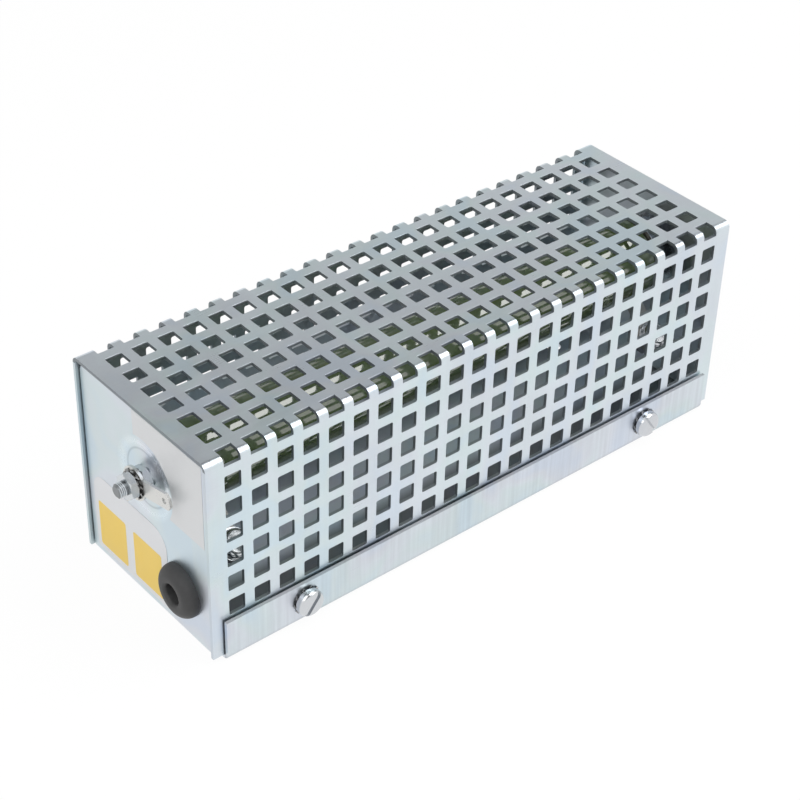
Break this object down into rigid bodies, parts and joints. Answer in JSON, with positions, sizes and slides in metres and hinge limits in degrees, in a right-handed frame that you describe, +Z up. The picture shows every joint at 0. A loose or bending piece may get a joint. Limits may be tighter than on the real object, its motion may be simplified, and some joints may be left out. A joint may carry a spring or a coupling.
{
  "type": "enclosure heater",
  "caption": "Enclosure heater: an enamelled tubular resistor in a folded zinc-plated steel case with a square-hole perforated cover, side screws, a cable grommet and an earth tab.",
  "frame": {"origin": "centre of the base plate's underside, below the middle of the cover", "axes": "+X along the resistor, away from the end with the earth stud and the cable entry; +Y across the case, away from the cable entry's side; +Z up"},
  "size_m": [0.1954, 0.068, 0.0645],
  "materials": {
    "cover_sheet": "bright zinc plate",
    "chassis_sheet": "bright zinc plate with a faint iridescence",
    "plated_hardware": "bright zinc plate",
    "spring_steel": "plain steel",
    "tinned_metal": "tin plate",
    "grommet_rubber": "matte",
    "green_enamel": "glossy vitreous enamel",
    "mica": "satin"
  },
  "bodies": {
    "root": {"base_chassis": "chassis_sheet", "perforated_cover": "cover_sheet", "cover_screws": "plated_hardware", "cover_screw_washers": "spring_steel", "cover_clinch_nuts": "plated_hardware", "cable_grommet": "grommet_rubber", "resistor_tube": "green_enamel", "left_terminal_band": "tinned_metal", "right_terminal_band": "tinned_metal", "terminal_screws": "plated_hardware", "terminal_washers": "plated_hardware", "terminal_nuts": "plated_hardware", "threaded_rod": "plated_hardware", "left_mica_washer": "mica", "right_mica_washer": "mica", "left_centring_washer": "plated_hardware", "right_centring_washer": "plated_hardware", "left_clamp_nut": "plated_hardware", "right_clamp_nut": "plated_hardware", "left_inner_washer": "plated_hardware", "right_inner_washer": "plated_hardware", "earth_back_nut": "plated_hardware", "earth_star_washers": "spring_steel", "earth_tab": "tinned_metal", "earth_nut": "plated_hardware", "tail_star_washer": "spring_steel", "tail_nut": "plated_hardware"}
  },
  "joints": []
}
